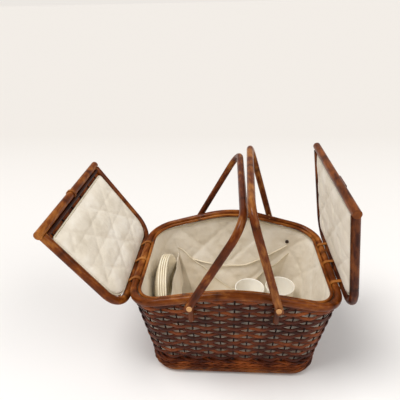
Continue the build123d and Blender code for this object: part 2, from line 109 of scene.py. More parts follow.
def varnished_cane(name, deep, body, worn, roughness, knuckle_dark=0.0, streak=38.0, varnish=0.14):
    """Rattan under varnish: fibres streak along each pole, its tone changes slowly, the
    knuckles are darker, and the varnish gives a soft gloss."""
    made, tree, shader = new_material(name)
    place = add_node(tree, "ShaderNodeTexCoord").outputs["Object"]
    along = add_node(tree, "ShaderNodeAttribute", attribute_name="along").outputs["Fac"]
    around = add_node(tree, "ShaderNodeAttribute", attribute_name="around").outputs["Fac"]
    shade = add_node(tree, "ShaderNodeAttribute", attribute_name="shade").outputs["Fac"]
    knuckle = add_node(tree, "ShaderNodeAttribute", attribute_name="knuckle").outputs["Fac"]
    own = add_node(tree, "ShaderNodeCombineXYZ", {"X": along, "Y": around, "Z": shade}).outputs[0]
    stretched = add_node(
        tree, "ShaderNodeVectorMath", {0: own, 1: (streak, 7.0, 9.0)}, operation="MULTIPLY"
    ).outputs[0]
    near = add_node(
        tree, "ShaderNodeVectorMath", {0: place, "Scale": 14.0}, operation="SCALE"
    ).outputs[0]
    both = add_node(
        tree, "ShaderNodeVectorMath", {0: stretched, 1: near}, operation="ADD"
    ).outputs[0]
    fibres = add_node(
        tree, "ShaderNodeTexNoise", {"Vector": both, "Scale": 1.0, "Detail": 5.0, "Roughness": 0.65}
    ).outputs["Fac"]
    patches = add_node(
        tree, "ShaderNodeTexNoise", {"Vector": place, "Scale": 22.0, "Detail": 2.0}
    ).outputs["Fac"]
    tone = add_node(
        tree, "ShaderNodeMath", {0: fibres, 1: patches}, operation="ADD"
    ).outputs[0]
    shaded = add_node(
        tree, "ShaderNodeMath", {0: shade, 1: 0.35, 2: tone}, operation="MULTIPLY_ADD"
    ).outputs[0]
    scaled = add_node(
        tree, "ShaderNodeMapRange", {"Value": shaded, "From Min": 0.72, "From Max": 1.55}
    ).outputs[0]
    colour = add_node(
        tree, "ShaderNodeValToRGB", {"Fac": scaled}, ((0.0, deep), (0.5, body), (1.0, worn))
    ).outputs["Color"]
    dark = add_node(
        tree, "ShaderNodeMath", {0: knuckle, 1: knuckle_dark}, operation="MULTIPLY"
    ).outputs[0]
    ringed = add_node(
        tree, "ShaderNodeMix", {"Factor": dark, 6: colour, 7: linear(deep)}, data_type="RGBA"
    ).outputs[2]
    bump = add_node(
        tree, "ShaderNodeBump", {"Height": fibres, "Strength": 0.25, "Distance": 0.0006}
    ).outputs[0]
    tree.links.new(ringed, shader.inputs["Base Color"])
    tree.links.new(bump, shader.inputs["Normal"])
    gloss = add_node(
        tree,
        "ShaderNodeMapRange",
        {"Value": fibres, "To Min": roughness - 0.07, "To Max": roughness + 0.13},
    ).outputs[0]
    tree.links.new(gloss, shader.inputs["Roughness"])
    shader.inputs["IOR"].default_value = 1.5
    shader.inputs["Specular IOR Level"].default_value = 0.08
    shader.inputs["Coat Weight"].default_value = varnish
    shader.inputs["Coat Roughness"].default_value = 0.12
    return made


def quilted_cotton(name, low, mid, high, thread=1.4):
    """Unbleached cotton over wadding: matt, faintly mottled, with the cloth's own thread
    drawn coarser than real so that it shows."""
    made, tree, shader = new_material(name)
    place = add_node(tree, "ShaderNodeTexCoord").outputs["Object"]
    cloud = add_node(
        tree, "ShaderNodeTexNoise", {"Vector": place, "Scale": 17.0, "Detail": 4.0, "Roughness": 0.6}
    ).outputs["Fac"]
    threads = add_node(
        tree, "ShaderNodeTexNoise", {"Vector": place, "Scale": 1000.0 / thread, "Detail": 2.0}
    ).outputs["Fac"]
    creases = add_node(
        tree,
        "ShaderNodeTexNoise",
        {"Vector": place, "Scale": 48.0, "Detail": 3.0, "Distortion": 0.8},
    ).outputs["Fac"]
    fine = add_node(
        tree, "ShaderNodeMath", {0: threads, 1: 0.12, 2: cloud}, operation="MULTIPLY_ADD"
    ).outputs[0]
    colour = add_node(
        tree, "ShaderNodeValToRGB", {"Fac": fine}, ((0.36, low), (0.55, mid), (0.78, high))
    ).outputs["Color"]
    tree.links.new(colour, shader.inputs["Base Color"])
    height = add_node(
        tree, "ShaderNodeMath", {0: creases, 1: 4.0, 2: threads}, operation="MULTIPLY_ADD"
    ).outputs[0]
    bump = add_node(
        tree, "ShaderNodeBump", {"Height": height, "Strength": 0.35, "Distance": 0.0007}
    ).outputs[0]
    tree.links.new(bump, shader.inputs["Normal"])
    shader.inputs["Roughness"].default_value = 0.9
    shader.inputs["Sheen Weight"].default_value = 0.2
    return made


def glazed(name, body, spot, roughness):
    """Moulded melamine: even colour with a faint cloud, and a soft bright gloss."""
    made, tree, shader = new_material(name)
    place = add_node(tree, "ShaderNodeTexCoord").outputs["Object"]
    cloud = add_node(
        tree, "ShaderNodeTexNoise", {"Vector": place, "Scale": 30.0, "Detail": 3.0}
    ).outputs["Fac"]
    colour = add_node(
        tree, "ShaderNodeValToRGB", {"Fac": cloud}, ((0.3, spot), (0.7, body))
    ).outputs["Color"]
    rub = add_node(
        tree,
        "ShaderNodeMapRange",
        {"Value": cloud, "To Min": roughness, "To Max": roughness + 0.1},
    ).outputs[0]
    tree.links.new(colour, shader.inputs["Base Color"])
    tree.links.new(rub, shader.inputs["Roughness"])
    return made


# Poles look warm red-brown with darker knuckles; the weave is darker and its stakes nearly
# black, so that the rows stand out; the split strips and pegs are pale and catch the eye.
POLE_CANE = varnished_cane("varnished rattan pole", "#321203", "#6F3409", "#B4702F", 0.34, 0.7)
HANDLE_CANE = varnished_cane("varnished handle rattan", "#2C0F03", "#642B09", "#B07236", 0.3, 0.7)
DARK_POLE = varnished_cane("dark varnished rattan pole", "#1A0702", "#431906", "#8A4A1C", 0.33, 0.7)
WEAVE_CANE = varnished_cane("brown woven cane", "#1A0601", "#4C1C07", "#9C501F", 0.42, 0.0, 60.0, 0.05)
STAKE_CANE = varnished_cane("dark stake cane", "#120705", "#22100A", "#3A2014", 0.5, varnish=0.0)
STRIP_CANE = varnished_cane("split cane strip", "#6E3A18", "#A8692F", "#DDAA6C", 0.4)
PEG_WOOD = varnished_cane("turned peg wood", "#A9713F", "#D2A06C", "#E9C79A", 0.45)
# The lining looks soft and creamy. Its backing shows only in the weave's gaps and is painted palest,
# as painted light that brightens those shaded gaps.
LINING = quilted_cotton("quilted lining cotton", "#DFD3BE", "#EFE4D1", "#F8F0E2")
BACKING_PAINTED_LIGHT = quilted_cotton("lining backing cotton with painted light", "#FFE8CC", "#FFF3DE", "#FFFAEE")
PIPING = quilted_cotton("cotton piping", "#CDBFA0", "#E0D3B8", "#EFE5CF", 1.0)
# The ware is smooth against the cloth, the cups whiter than the plates.
PLATE_GLAZE = glazed("cream melamine", "#FAF0D8", "#F1E4C8", 0.22)
CUP_GLAZE = glazed("ivory melamine", "#FFFCF4", "#FBF4E6", 0.2)
BUTTON_HORN = glazed("dark horn button", "#3A2416", "#23140C", 0.4)
WAXED_CORD = varnished_cane("waxed brown cord", "#20100A", "#3D2012", "#6B4128", 0.55)


# Shape of the basket

def grow(z):
    return (z - BASE_Z) / (RIM_Z - BASE_Z)


def gable_z(x):
    """The rim's height over a place along the basket, with its crown rounded."""
    z = RIM_Z + GABLE * (RIM_LENGTH - abs(x))
    reach = CROWN_R * GABLE * 0.98
    if abs(x) < reach:
        z -= (reach - abs(x)) ** 2 * GABLE / (2 * reach)
    return z


def plan_sizes(z, off):
    """Half length, half width, corner radius and bulge of the wall's plan at a height."""
    g = grow(z)
    a = BASE_LENGTH + (RIM_LENGTH - BASE_LENGTH) * g + off
    b = BASE_WIDTH + (RIM_WIDTH - BASE_WIDTH) * g + off
    r = BASE_CORNER + (RIM_CORNER - BASE_CORNER) * g + off
    top = RIM_Z + CROWN_RISE
    full = CROWN_WIDTH - (BASE_WIDTH + (RIM_WIDTH - BASE_WIDTH) * grow(top))
    return a, b, max(r, 4.0), max(0.2, full * (z - BASE_Z) / (top - BASE_Z))


# The wall's plan, counted in stakes from the middle of the right end, round by the back
SPANS = [("end", 3), ("corner", 3), ("side", 10), ("corner", 3), ("end", 6), ("corner", 3)]
SPANS += [("side", 10), ("corner", 3), ("end", 3)]


def wall_point(u, z, off=0.0):
    """A point on the wall's mid surface, moved outwards by off, and its outward direction."""
    a, b, r, g = plan_sizes(z, off)
    u %= STAKES
    marks = [0]
    for _, count in SPANS:
        marks.append(marks[-1] + count)
    i = max(k for k in range(len(SPANS)) if u >= marks[k])
    t = (u - marks[i]) / SPANS[i][1]
    if i in (0, 8):
        y = (b - r) * (t if i == 0 else t - 1)
        point, out = (a, y), (1, 0)
    elif i == 4:
        point, out = (-a, (b - r) * (1 - 2 * t)), (-1, 0)
    elif i in (2, 6):
        side = 1 if i == 2 else -1
        x = (a - r) * (1 - 2 * t) * side
        slope = 2 * g * x / (a - r) ** 2
        point = (x, side * (b + g * (1 - (x / (a - r)) ** 2)))
        out = Vector((slope, side)).normalized()
    else:
        start = {1: 0, 3: 90, 5: 180, 7: 270}[i]
        angle = math.radians(start + 90 * t)
        centre = {1: (a - r, b - r), 3: (r - a, b - r), 5: (r - a, r - b), 7: (a - r, r - b)}[i]
        out = (math.cos(angle), math.sin(angle))
        point = (centre[0] + r * out[0], centre[1] + r * out[1])
    return Vector((point[0], point[1], z)), Vector((out[0], out[1], -0.18)).normalized()


def rounded(points, radii, closed=False, step=4.0):
    """A smooth run of points along straight lines whose corners are rounded to arcs."""
    points = [Vector(p) for p in points]
    count = len(points)
    if not isinstance(radii, (list, tuple)):
        radii = [radii] * count
    corners = range(count) if closed else range(1, count - 1)
    pieces = []
    for i in range(count):
        here = points[i]
        if i not in corners:
            pieces.append([here])
            continue
        back = (points[i - 1] - here).normalized()
        ahead = (points[(i + 1) % count] - here).normalized()
        turn = math.pi - back.angle(ahead)
        r = radii[i]
        reach = r * math.tan(turn / 2)
        middle = (back + ahead).normalized()
        centre = here + middle * r / math.cos(turn / 2)
        first, last = here + back * reach - centre, here + ahead * reach - centre
        steps = max(2, int(r * turn / step))
        arc = [centre + first.slerp(last, k / steps) * r for k in range(steps + 1)]
        pieces.append(arc)
    run = [p for piece in pieces for p in piece]
    if closed:
        run.append(run[0])
    return evenly(run, step, closed)


def evenly(run, step, closed=False):
    """The same run with its points set evenly."""
    lengths = [0.0]
    for p, q in zip(run, run[1:]):
        lengths.append(lengths[-1] + (q - p).length)
    count = max(2, round(lengths[-1] / step))
    made, k = [], 0
    for i in range(count + (0 if closed else 1)):
        want = lengths[-1] * i / count
        while k < len(run) - 2 and lengths[k + 1] < want:
            k += 1
        span = lengths[k + 1] - lengths[k]
        t = (want - lengths[k]) / span if span > 1e-9 else 0
        made.append(run[k].lerp(run[k + 1], min(max(t, 0), 1)))
    return made


# Canes and cords: one Geometry Nodes tree sweeps every strand

def strand_tree():
    """Moves each line in and out round the stakes, then gives it a flattened round section
    with knuckles, and keeps what the material needs along and around it."""
    tree = bpy.data.node_groups.new("cane strands", "GeometryNodeTree")
    face = tree.interface
    face.new_socket("Lines", in_out="INPUT", socket_type="NodeSocketGeometry")
    for name, value in [
        ("Width", 0.01),
        ("Thickness", 0.003),
        ("In and Out", 0.0),
        ("Up and Down", 0.0),
        ("Unevenness", 0.0),
        ("Knuckle Spacing", 0.17),
        ("Knuckle Swell", 0.0),
    ]:
        face.new_socket(name, in_out="INPUT", socket_type="NodeSocketFloat").default_value = value
    face.new_socket("Sides", in_out="INPUT", socket_type="NodeSocketInt").default_value = 10
    face.new_socket("Finish", in_out="INPUT", socket_type="NodeSocketMaterial")
    face.new_socket("Canes", in_out="OUTPUT", socket_type="NodeSocketGeometry")
    given = tree.nodes.new("NodeGroupInput").outputs

    turn = add_node(tree, "GeometryNodeInputNamedAttribute", {"Name": "turn"}).outputs[0]
    along = add_node(tree, "GeometryNodeInputNamedAttribute", {"Name": "along"}).outputs[0]
    shade = add_node(tree, "GeometryNodeInputNamedAttribute", {"Name": "shade"}).outputs[0]
    outward = add_node(
        tree, "GeometryNodeInputNamedAttribute", {"Name": "outward"}, data_type="FLOAT_VECTOR"
    ).outputs["Attribute"]
    upward = add_node(
        tree, "GeometryNodeInputNamedAttribute", {"Name": "upward"}, data_type="FLOAT_VECTOR"
    ).outputs["Attribute"]
    wave = add_node(tree, "ShaderNodeMath", {0: turn}, operation="COSINE").outputs[0]
    out = add_node(
        tree, "ShaderNodeMath", {0: wave, 1: given["In and Out"]}, operation="MULTIPLY"
    ).outputs[0]
    swing = add_node(tree, "ShaderNodeMath", {0: turn}, operation="SINE").outputs[0]
    up = add_node(
        tree, "ShaderNodeMath", {0: swing, 1: given["Up and Down"]}, operation="MULTIPLY"
    ).outputs[0]
    push = add_node(
        tree, "ShaderNodeVectorMath", {0: outward, "Scale": out}, operation="SCALE"
    ).outputs[0]
    lift = add_node(
        tree, "ShaderNodeVectorMath", {0: upward, "Scale": up}, operation="SCALE"
    ).outputs[0]
    ripple = add_node(
        tree,
        "ShaderNodeTexNoise",
        {"W": shade, "Scale": 26.0, "Detail": 1.0},
        noise_dimensions="4D",
    ).outputs["Fac"]
    centred = add_node(tree, "ShaderNodeMath", {0: ripple, 1: 0.5}, operation="SUBTRACT").outputs[0]
    uneven = add_node(
        tree, "ShaderNodeMath", {0: centred, 1: given["Unevenness"]}, operation="MULTIPLY"
    ).outputs[0]
    stray = add_node(
        tree, "ShaderNodeVectorMath", {0: upward, "Scale": uneven}, operation="SCALE"
    ).outputs[0]
    first = add_node(tree, "ShaderNodeVectorMath", {0: push, 1: lift}, operation="ADD").outputs[0]
    total = add_node(tree, "ShaderNodeVectorMath", {0: first, 1: stray}, operation="ADD").outputs[0]
    moved = add_node(
        tree, "GeometryNodeSetPosition", {"Geometry": given["Lines"], "Offset": total}
    ).outputs[0]
    curves = add_node(tree, "GeometryNodeMeshToCurve", {"Mesh": moved}).outputs[0]
    framed = add_node(
        tree, "GeometryNodeSetCurveNormal", {"Curve": curves, "Normal": outward}, mode="FREE"
    ).outputs[0]
    spacing = given["Knuckle Spacing"]
    counted = add_node(tree, "ShaderNodeMath", {0: along, 1: spacing}, operation="DIVIDE").outputs[0]
    shifted = add_node(tree, "ShaderNodeMath", {0: counted, 1: shade}, operation="ADD").outputs[0]
    place = add_node(tree, "ShaderNodeMath", {0: shifted}, operation="FRACT").outputs[0]
    signed = add_node(tree, "ShaderNodeMath", {0: place, 1: 0.5}, operation="SUBTRACT").outputs[0]
    share = add_node(tree, "ShaderNodeMath", {0: signed}, operation="ABSOLUTE").outputs[0]
    away = add_node(tree, "ShaderNodeMath", {0: share, 1: spacing}, operation="MULTIPLY").outputs[0]
    near = add_node(
        tree, "ShaderNodeMath", {0: away, 1: KNUCKLE_REACH}, operation="DIVIDE"
    ).outputs[0]
    square = add_node(tree, "ShaderNodeMath", {0: near, 1: near}, operation="MULTIPLY").outputs[0]
    fall = add_node(tree, "ShaderNodeMath", {0: square, 1: -1.0}, operation="MULTIPLY").outputs[0]
    bell = add_node(tree, "ShaderNodeMath", {0: fall}, operation="EXPONENT").outputs[0]
    sized = add_node(
        tree,
        "ShaderNodeMath",
        {0: bell, 1: given["Knuckle Swell"], 2: 1.0},
        operation="MULTIPLY_ADD",
    ).outputs[0]
    marked = add_node(
        tree,
        "GeometryNodeStoreNamedAttribute",
        {"Geometry": framed, "Name": "knuckle", "Value": bell},
        data_type="FLOAT",
        domain="POINT",
    ).outputs[0]
    thick = add_node(
        tree, "GeometryNodeSetCurveRadius", {"Curve": marked, "Radius": sized}
    ).outputs[0]
    ring = add_node(
        tree, "GeometryNodeCurvePrimitiveCircle", {"Resolution": given["Sides"], "Radius": 0.5}
    ).outputs[0]
    index = add_node(tree, "GeometryNodeInputIndex").outputs[0]
    around = add_node(
        tree, "ShaderNodeMath", {0: index, 1: given["Sides"]}, operation="DIVIDE"
    ).outputs[0]
    marked_ring = add_node(
        tree,
        "GeometryNodeStoreNamedAttribute",
        {"Geometry": ring, "Name": "around", "Value": around},
        data_type="FLOAT",
        domain="POINT",
    ).outputs[0]
    sizes = add_node(
        tree, "ShaderNodeCombineXYZ", {"X": given["Thickness"], "Y": given["Width"], "Z": 1.0}
    ).outputs[0]
    section = add_node(
        tree, "GeometryNodeTransform", {"Geometry": marked_ring, "Scale": sizes}
    ).outputs[0]
    swept = add_node(
        tree,
        "GeometryNodeCurveToMesh",
        {"Curve": thick, "Profile Curve": section, "Fill Caps": True},
    ).outputs[0]
    smooth = add_node(tree, "GeometryNodeSetShadeSmooth", {"Geometry": swept}).outputs[0]
    real = add_node(tree, "GeometryNodeRealizeInstances", {"Geometry": smooth}).outputs[0]
    done = add_node(
        tree, "GeometryNodeSetMaterial", {"Geometry": real, "Material": given["Finish"]}
    ).outputs[0]
    out_node = tree.nodes.new("NodeGroupOutput")
    tree.links.new(done, out_node.inputs["Canes"])
    return tree


STRANDS = strand_tree()


def strand(points, outward, closed=False, turn=None, upward=(0, 0, 1), shade=0.0):
    """One line for the strand tree. outward is one direction or one for each point."""
    count = len(points)
    outs = list(outward) if isinstance(outward, list) else [Vector(outward)] * count
    return {
        "points": points,
        "outward": outs,
        "upward": [Vector(upward)] * count,
        "closed": closed,
        "turn": turn or [0.0] * count,
        "shade": shade,
    }


def make_canes(name, body, lines, finish, replaces=(), slot=None, **sizes):
    """Sweeps lines into one piece of a body, by the strand tree. Sizes are in millimetres."""
    verts, edges = [], []
    columns = {"turn": [], "along": [], "shade": [], "outward": [], "upward": []}
    for line in lines:
        first, run = len(verts), 0.0
        for i, p in enumerate(line["points"]):
            run += (p - line["points"][i - 1]).length / 1000 if i else 0.0
            verts.append(p / 1000)
            columns["along"].append(run)
            columns["shade"].append(line["shade"])
            columns["turn"].append(line["turn"][i])
            columns["outward"] += list(line["outward"][i])
            columns["upward"] += list(line["upward"][i])
            if i:
                edges.append((len(verts) - 2, len(verts) - 1))
        if line["closed"]:
            edges.append((len(verts) - 1, first))
    mesh = bpy.data.meshes.new(name + "_lines")
    mesh.from_pydata(verts, edges, [])
    for key, values in columns.items():
        vector = key in ("outward", "upward")
        layer = mesh.attributes.new(key, "FLOAT_VECTOR" if vector else "FLOAT", "POINT")
        layer.data.foreach_set("vector" if vector else "value", values)
    guide = bpy.data.objects.new(name + "_guide", mesh)
    bpy.context.scene.collection.objects.link(guide)
    modifier = guide.modifiers.new("canes", "NODES")
    modifier.node_group = STRANDS
    wanted = {
        key.replace("_", " ").title().replace(" And ", " and "): value
        for key, value in sizes.items()
    }
    wanted["Finish"] = finish
    for item in STRANDS.interface.items_tree:
        if item.in_out == "INPUT" and item.name in wanted:
            value = wanted[item.name]
            if item.socket_type == "NodeSocketFloat" and item.name != "Knuckle Swell":
                value = value / 1000
            modifier[item.identifier] = value
    bpy.context.view_layer.update()
    graph = bpy.context.evaluated_depsgraph_get()
    final = bpy.data.meshes.new_from_object(guide.evaluated_get(graph), depsgraph=graph)
    bpy.data.objects.remove(guide)
    bpy.data.meshes.remove(mesh)
    if not final.materials:
        final.materials.append(finish)
    return place_piece(name, body, final, replaces)


def place_piece(name, body, data, replaces=()):
    """Puts a mesh or a curve into the scene as one piece of a body."""
    data.name = name
    piece = bpy.data.objects.new(name, data)
    bpy.context.scene.collection.objects.link(piece)
    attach(piece, body)
    if replaces:
        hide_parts(*replaces)
    return piece


# Woven wall

def split_runs(points, keep):
    """The stretches of a ring whose points are kept, or the whole ring."""
    if all(keep):
        return [(list(range(len(points))), True)]
    start = keep.index(False)
    order = [(start + k) % len(points) for k in range(len(points))]
    runs, run = [], []
    for i in order:
        if keep[i]:
            run.append(i)
        elif run:
            runs.append((run, False))
            run = []
    if run:
        runs.append((run, False))
    return [r for r in runs if len(r[0]) > 4]


def wall_ring(z, off, per_stake=10, drop=4.0):
    """A row round the wall: its places in stakes, its points with their outward directions,
    and which of them lie below the rim."""
    steps = [k / per_stake for k in range(STAKES * per_stake)]
    both = [wall_point(u, z, off) for u in steps]
    keep = [p.z < gable_z(p.x) - drop for p, _ in both]
    return steps, both, keep


def twisted_row(rng, z, off, per_stake, sense):
    """Three canes laid round the wall, each a third of a turn behind the last."""
    steps, both, _ = wall_ring(z, off, per_stake)
    points, outs = [p for p, _ in both], [o for _, o in both]
    lines = []
    for k in range(3):
        turn = [2 * math.pi * (u / 2 + k / 3) * sense for u in steps]
        lines.append(strand(points, outs, True, turn, shade=rng.random()))
    return lines


def weave_wall():
    """The wall: rows woven in front of and behind the stakes, waling below, and the foot."""
    rng = random.Random(7)
    lines = []
    for row in range(WEAVE_ROWS):
        z = WEAVE_START + ROW_PITCH * row
        steps, both, keep = wall_ring(z, WEAVE_OUT)
        shade = rng.random()
        for run, closed in split_runs(both, keep):
            lines.append(
                strand(
                    [both[i][0] for i in run],
                    [both[i][1] for i in run],
                    closed,
                    [math.pi * (steps[i] + row) for i in run],
                    shade=shade,
                )
            )
    make_canes(
        "wall_weavers", "basket", lines, WEAVE_CANE, ["woven_wall"], "woven_cane",
        width=10.6, thickness=2.6, in_and_out=2.3, unevenness=3.0, sides=8,
    )
    stakes = []
    for k in range(STAKES):
        # A stake stops short where a hinge loop turns past it.
        head = wall_point(k, RIM_Z)[0]
        top = gable_z(head.x) - 4.0
        if abs(head.x) > RIM_LENGTH - 1 and seam_distance(head.y, LOOP_PITCH) < LOOP_ROOM:
            top = RIM_Z - 2 * LOOP_ROOM
        heights = [12 + (top - 12) * i / 8 for i in range(9)]
        both = [wall_point(k, z, WEAVE_OUT) for z in heights]
        stakes.append(
            strand([p for p, _ in both], [o for _, o in both], upward=(1, 0, 0), shade=rng.random())
        )
    make_canes(
        "wall_stakes", "basket", stakes, STAKE_CANE, (), "woven_cane",
        width=3.2, thickness=2.6, sides=8,
    )
    wales = []
    for row in range(WALE_ROWS):
        sense = 1 if row % 2 else -1
        wales += twisted_row(rng, WALE_START + WALE_PITCH * row, WALE_OUT, 12, sense)
    make_canes(
        "wall_wales", "basket", wales, WEAVE_CANE, (), "woven_cane",
        width=5.2, thickness=4.2, in_and_out=2.3, up_and_down=2.4, unevenness=1.5, sides=8,
    )
    braid = twisted_row(rng, BRAID_Z, BRAID_OUT, 14, 1)
    make_canes(
        "foot_twist", "basket", braid, DARK_POLE, ["foot_braid"], "woven_cane",
        width=4.4, thickness=4.0, in_and_out=1.8, up_and_down=2.3, sides=8,
    )


def gable_ring(inset, drop=0.0):
    """The rim's closed route, moved inwards and down."""
    a, b = RIM_LENGTH - inset, RIM_WIDTH - inset
    z = RIM_Z + GABLE * (RIM_LENGTH - a) - drop
    y, top, r = CROWN_WIDTH - inset, RIM_Z + CROWN_RISE - drop, RIM_CORNER - inset
    points = [(a, -b, z), (a, b, z), (0, y, top), (-a, b, z), (-a, -b, z), (0, -y, top)]
    return rounded(points, [r, r, CROWN_R, r, r, CROWN_R], closed=True)


def away_from_axis(points):
    return [Vector((p.x, p.y, 0)).normalized() for p in points]


def make_rims():
    ring = gable_ring(0)
    make_canes(
        "rim_rattan", "basket", [strand(ring, away_from_axis(ring), True, shade=0.31)], POLE_CANE,
        ["rim_pole"], "rattan_pole", width=POLE, thickness=POLE, knuckle_spacing=188,
        knuckle_swell=0.07, sides=20,
    )
    inner = gable_ring(INNER_CANE_IN)
    make_canes(
        "inner_rim", "basket", [strand(inner, away_from_axis(inner), True, shade=0.7)], POLE_CANE,
        ["inner_rim_cane"], "rattan_pole", width=INNER_CANE, thickness=INNER_CANE, knuckle_spacing=150,
        knuckle_swell=0.06, sides=12,
    )
    a, b, z = BASE_LENGTH, BASE_WIDTH, BASE_POLE_Z
    base = rounded([(a, -b, z), (a, b, z), (-a, b, z), (-a, -b, z)], BASE_CORNER, closed=True)
    make_canes(
        "base_rattan", "basket", [strand(base, away_from_axis(base), True, shade=0.55)], POLE_CANE,
        ["base_ring"], "rattan_pole", width=BASE_POLE, thickness=BASE_POLE, knuckle_spacing=170,
        knuckle_swell=0.05, sides=16,
    )
    cord = gable_ring(EDGE_CORD_IN, EDGE_CORD_DROP)
    make_canes(
        "lining_edge_cord", "basket", [strand(cord, away_from_axis(cord), True)], PIPING,
        ["lining_piping"], "cotton_piping", width=EDGE_CORD, thickness=EDGE_CORD, sides=10,
    )


# Handles

def make_handle(side, x, lean, hoop, skew, shade):
    """A bent hoop that leans along the basket, skewed a little about the upright."""
    half = [(HANDLE_FOOT_Y, -FOOT_DROP), (HANDLE_TOP_Y, hoop)]
    corners = [(0, -y, z) for y, z in half] + [(0, y, z) for y, z in reversed(half)]
    points = rounded(corners, HANDLE_CORNER)
    c, s = math.cos(math.radians(lean)), math.sin(math.radians(lean))
    k, m = math.cos(math.radians(skew)), math.sin(math.radians(skew))
    hinge = RIM_Z + GABLE * (RIM_LENGTH + LEFT_HANDLE_X)
    placed = []
    for p in points:
        leant = Vector((p.z * s, p.y, p.z * c))
        turned = (leant.x * k + leant.y * m, leant.y * k - leant.x * m)
        placed.append(Vector((x + turned[0], turned[1], hinge + leant.z)))
    outs = [Vector((c, 0, -s))] * len(placed)
    make_canes(
        "handle_rattan_" + side, "handle_" + side, [strand(placed, outs, shade=shade)],
        HANDLE_CANE, ["handle_" + side], "rattan_pole",
        width=HANDLE_POLE, thickness=HANDLE_POLE, knuckle_spacing=205, knuckle_swell=0.08, sides=20,
    )


# Lids: s from the hinge to the closing bar, w outwards

def lid_place(side, s, y, w):
    th = math.radians(LEFT_OPEN if side < 0 else RIGHT_OPEN)
    c, n = math.cos(th), math.sin(th)
    y = y if side < 0 else -y
    return Vector((side * RIM_LENGTH - side * (s * c - w * n), y, RIM_Z + s * n + w * c))


def lid_out(side):
    return lid_place(side, 0, 0, 1) - lid_place(side, 0, 0, 0)


def lid_up(side):
    return lid_place(side, 1, 0, 0) - lid_place(side, 0, 0, 0)


def lid_half(s):
    return LID_WIDTH + LID_FLARE * s / LID_LENGTH


def inside_half(s, start, inset, r):
    """Half the free width inside the lid's poles at s, where its hinge corners are round."""
    half = lid_half(s) - inset
    near = s - start
    if near < r:
        half -= r - math.sqrt(max(r * r - (r - near) ** 2, 0.0))
    return half


def make_lid_poles(side, name, finish, shade):
    body = "lid_" + name
    near, far = lid_half(0), lid_half(LID_LENGTH)
    bar_end = far + POLE / 2
    end, end_half = LID_LENGTH - 7.5, far - 0.35
    points = [(end, -end_half), (0, -near), (0, near), (end, end_half)]
    flat = rounded([(s, y, HINGE_D) for s, y in points], LID_CORNER)
    frame_line = [lid_place(side, *p) for p in flat]
    bar = [lid_place(side, LID_LENGTH, -bar_end + k * bar_end / 20, HINGE_D) for k in range(41)]
    out = lid_out(side)
    make_canes(
        "lid_rattan_" + name, body, [strand(frame_line, out, shade=shade)], finish,
        ["lid_frame_" + name], "rattan_pole", width=POLE, thickness=POLE, knuckle_spacing=176,
        knuckle_swell=0.08, sides=20,
    )
    make_canes(
        "bar_rattan_" + name, body, [strand(bar, out, shade=shade + 0.4)], finish,
        ["closing_bar_" + name], "rattan_pole", width=POLE, thickness=POLE, knuckle_spacing=150,
        knuckle_swell=0.07, sides=20,
    )


def make_lid_weave(side, name):
    rng = random.Random(11 if side < 0 else 12)
    out, up = lid_out(side), lid_up(side)
    across = Vector((0, 1, 0))
    start, inset, r, w = 10.0, 7.0, 42.0, HINGE_D + 3.6
    lines, pitch = [], 26.4
    row, s = 0, start + 5.5
    while s < LID_LENGTH - 4:
        half = inside_half(s, start, inset, r)
        count = max(8, int(2 * half / pitch * 9))
        ys = [-half + 2 * half * k / count for k in range(count + 1)]
        lines.append(
            strand(
                [lid_place(side, s, y, w) for y in ys], out,
                turn=[math.pi * (y / pitch + row) for y in ys], upward=up, shade=rng.random(),
            )
        )
        row, s = row + 1, s + 10.6
    make_canes(
        "lid_weavers_" + name, "lid_" + name, lines, WEAVE_CANE, ["lid_panel_" + name],
        "woven_cane", width=10.6, thickness=2.0, in_and_out=1.7, unevenness=1.5, sides=8,
    )
    stakes = []
    for k in range(-5, 6):
        y = k * pitch
        first = start
        while abs(y) > inside_half(first, start, inset - 2, r) and first < 60:
            first += 1.0
        run = [first + (LID_LENGTH - 4 - first) * i / 6 for i in range(7)]
        stakes.append(
            strand([lid_place(side, s, y, w) for s in run], out, upward=across, shade=rng.random())
        )
    make_canes(
        "lid_stakes_" + name, "lid_" + name, stakes, STAKE_CANE, (), "woven_cane",
        width=4.0, thickness=2.6, sides=8,
    )


# Quilting

def crease(distance, width):
    return 1.0 - math.exp(-abs(distance) / width)


def seam_distance(value, spacing):
    """How far a value lies from the nearest of evenly spaced seams."""
    return abs((value / spacing + 0.5) % 1.0 - 0.5) * spacing


def quilt(p, q, spacing=76.0, width=7.0):
    """Height of diamond quilting, 0 in the seams and near 1 in the middle of a puff."""
    diagonal = math.sqrt(2)
    one = seam_distance((p + q) / diagonal, spacing)
    two = seam_distance((p - q) / diagonal, spacing)
    return crease(one, width) * crease(two, width)


def ruck(p, q, size, seed=0.0):
    return noise.noise(Vector((p / size, q / size, seed)))


def grid_faces(columns, rows, wrap=False, first=0, flip=False):
    faces = []
    for i in range(columns if wrap else columns - 1):
        for j in range(rows - 1):
            a, b = i * rows + j, ((i + 1) % columns) * rows + j
            face = (first + a, first + b, first + b + 1, first + a + 1)
            faces.append(tuple(reversed(face)) if flip else face)
    return faces


def smooth_mesh(name, verts, faces, finish):
    mesh = bpy.data.meshes.new(name)
    mesh.from_pydata([v / 1000 for v in verts], [], faces)
    mesh.validate()
    mesh.materials.append(finish)
    mesh.polygons.foreach_set("use_smooth", [True] * len(mesh.polygons))
    return mesh


